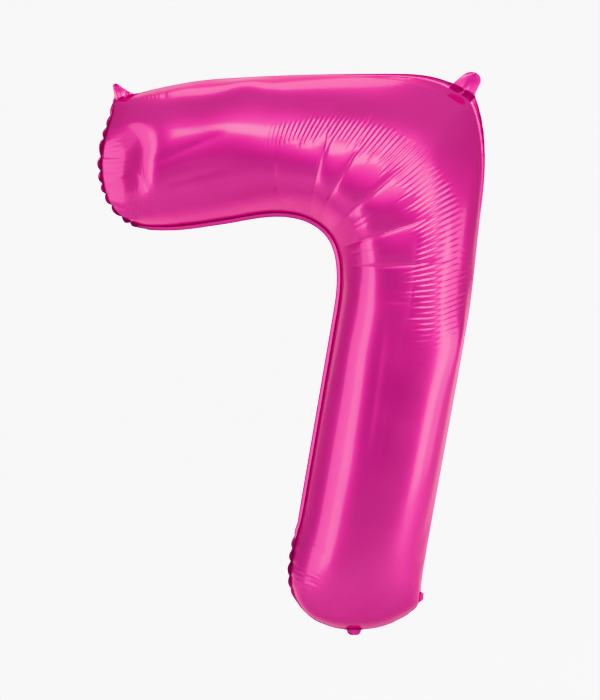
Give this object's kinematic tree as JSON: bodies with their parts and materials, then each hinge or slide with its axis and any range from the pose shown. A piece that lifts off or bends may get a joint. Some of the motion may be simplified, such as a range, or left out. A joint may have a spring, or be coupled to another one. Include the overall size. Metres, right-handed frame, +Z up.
{
  "type": "foil number balloon",
  "caption": "Inflated foil balloon in the shape of the number seven, with hanging tabs and a fill neck that fold.",
  "frame": {"origin": "tip of the fill neck, the lowest point, on the plane of the weld between the two foils", "axes": "+Z up the numeral, +X to the right as the numeral is read, -Y the front, which faces the reader"},
  "size_m": [0.59, 0.1956, 0.8596],
  "materials": {
    "pink_foil": "satin metallised film",
    "clear_film": "clear polyethylene film"
  },
  "bodies": {
    "envelope": {"front_panel": "pink_foil", "back_panel": "pink_foil", "valve_front_ply": "clear_film", "valve_back_ply": "clear_film"},
    "top_left_tab": {"top_left_tab_front": "pink_foil", "top_left_tab_back": "pink_foil"},
    "top_right_tab": {"top_right_tab_front": "pink_foil", "top_right_tab_back": "pink_foil"},
    "lower_right_tab": {"lower_right_tab_front": "pink_foil", "lower_right_tab_back": "pink_foil"},
    "fill_neck": {"fill_neck_front": "pink_foil", "fill_neck_back": "pink_foil"}
  },
  "joints": [
    {"name": "top_left_tab_fold", "type": "hinge", "parent": "envelope", "child": "top_left_tab", "pos_m": [-0.35, 0, 0.82112], "axis": [0.9659, 0, 0.2588], "range_deg": [-86, 86], "stiffness_Nm_per_rad": 0.00012},
    {"name": "top_right_tab_fold", "type": "hinge", "parent": "envelope", "child": "top_right_tab", "pos_m": [0.1676, 0, 0.83277], "axis": [0.891, 0, -0.454], "range_deg": [-86, 86], "stiffness_Nm_per_rad": 0.0002},
    {"name": "lower_right_tab_fold", "type": "hinge", "parent": "envelope", "child": "lower_right_tab", "pos_m": [0.10175, 0, 0.05991], "axis": [-0.0872, 0, -0.9962], "range_deg": [-24, 148], "stiffness_Nm_per_rad": 0.00002},
    {"name": "fill_neck_fold", "type": "hinge", "parent": "envelope", "child": "fill_neck", "pos_m": [0, 0, 0.00875], "axis": [-1, 0, 0], "range_deg": [-86, 86], "stiffness_Nm_per_rad": 0.00002}
  ]
}
